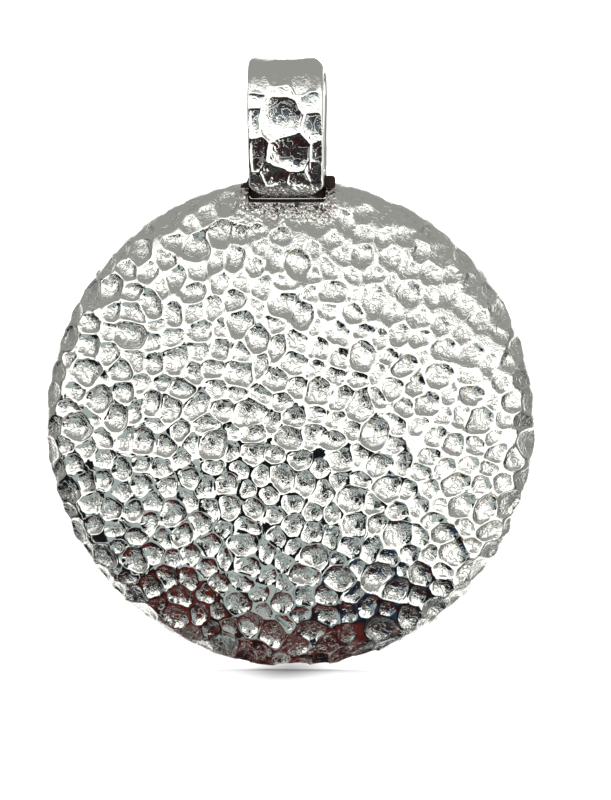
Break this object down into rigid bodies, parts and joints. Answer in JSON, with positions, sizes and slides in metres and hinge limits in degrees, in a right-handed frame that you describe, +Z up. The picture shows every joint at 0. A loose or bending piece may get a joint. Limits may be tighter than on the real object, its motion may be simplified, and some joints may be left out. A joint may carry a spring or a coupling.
{
  "type": "hammered disc pendant",
  "caption": "Large domed silver disc with a hammered face, swinging on a wide hammered bail that a chain or cord passes through.",
  "frame": {"origin": "inside of the bail's top bend, at the middle of its width, where the chain bears", "axes": "+Z up, the face towards -Y, +X along the chain through the bail; the disc hangs as its weight settles, its foot 4.67 degrees back"},
  "size_m": [0.05, 0.009, 0.0618],
  "materials": {
    "silver": "hammered and polished silver, gritty in the marks"
  },
  "bodies": {
    "bail": {"bail": "silver"},
    "disc": {"disc": "silver"}
  },
  "joints": [
    {"name": "disc_swing", "type": "hinge", "parent": "bail", "child": "disc", "pos_m": [0, 0, -0.0116], "axis": [1, 0, 0], "range_deg": [-80, 80]}
  ]
}
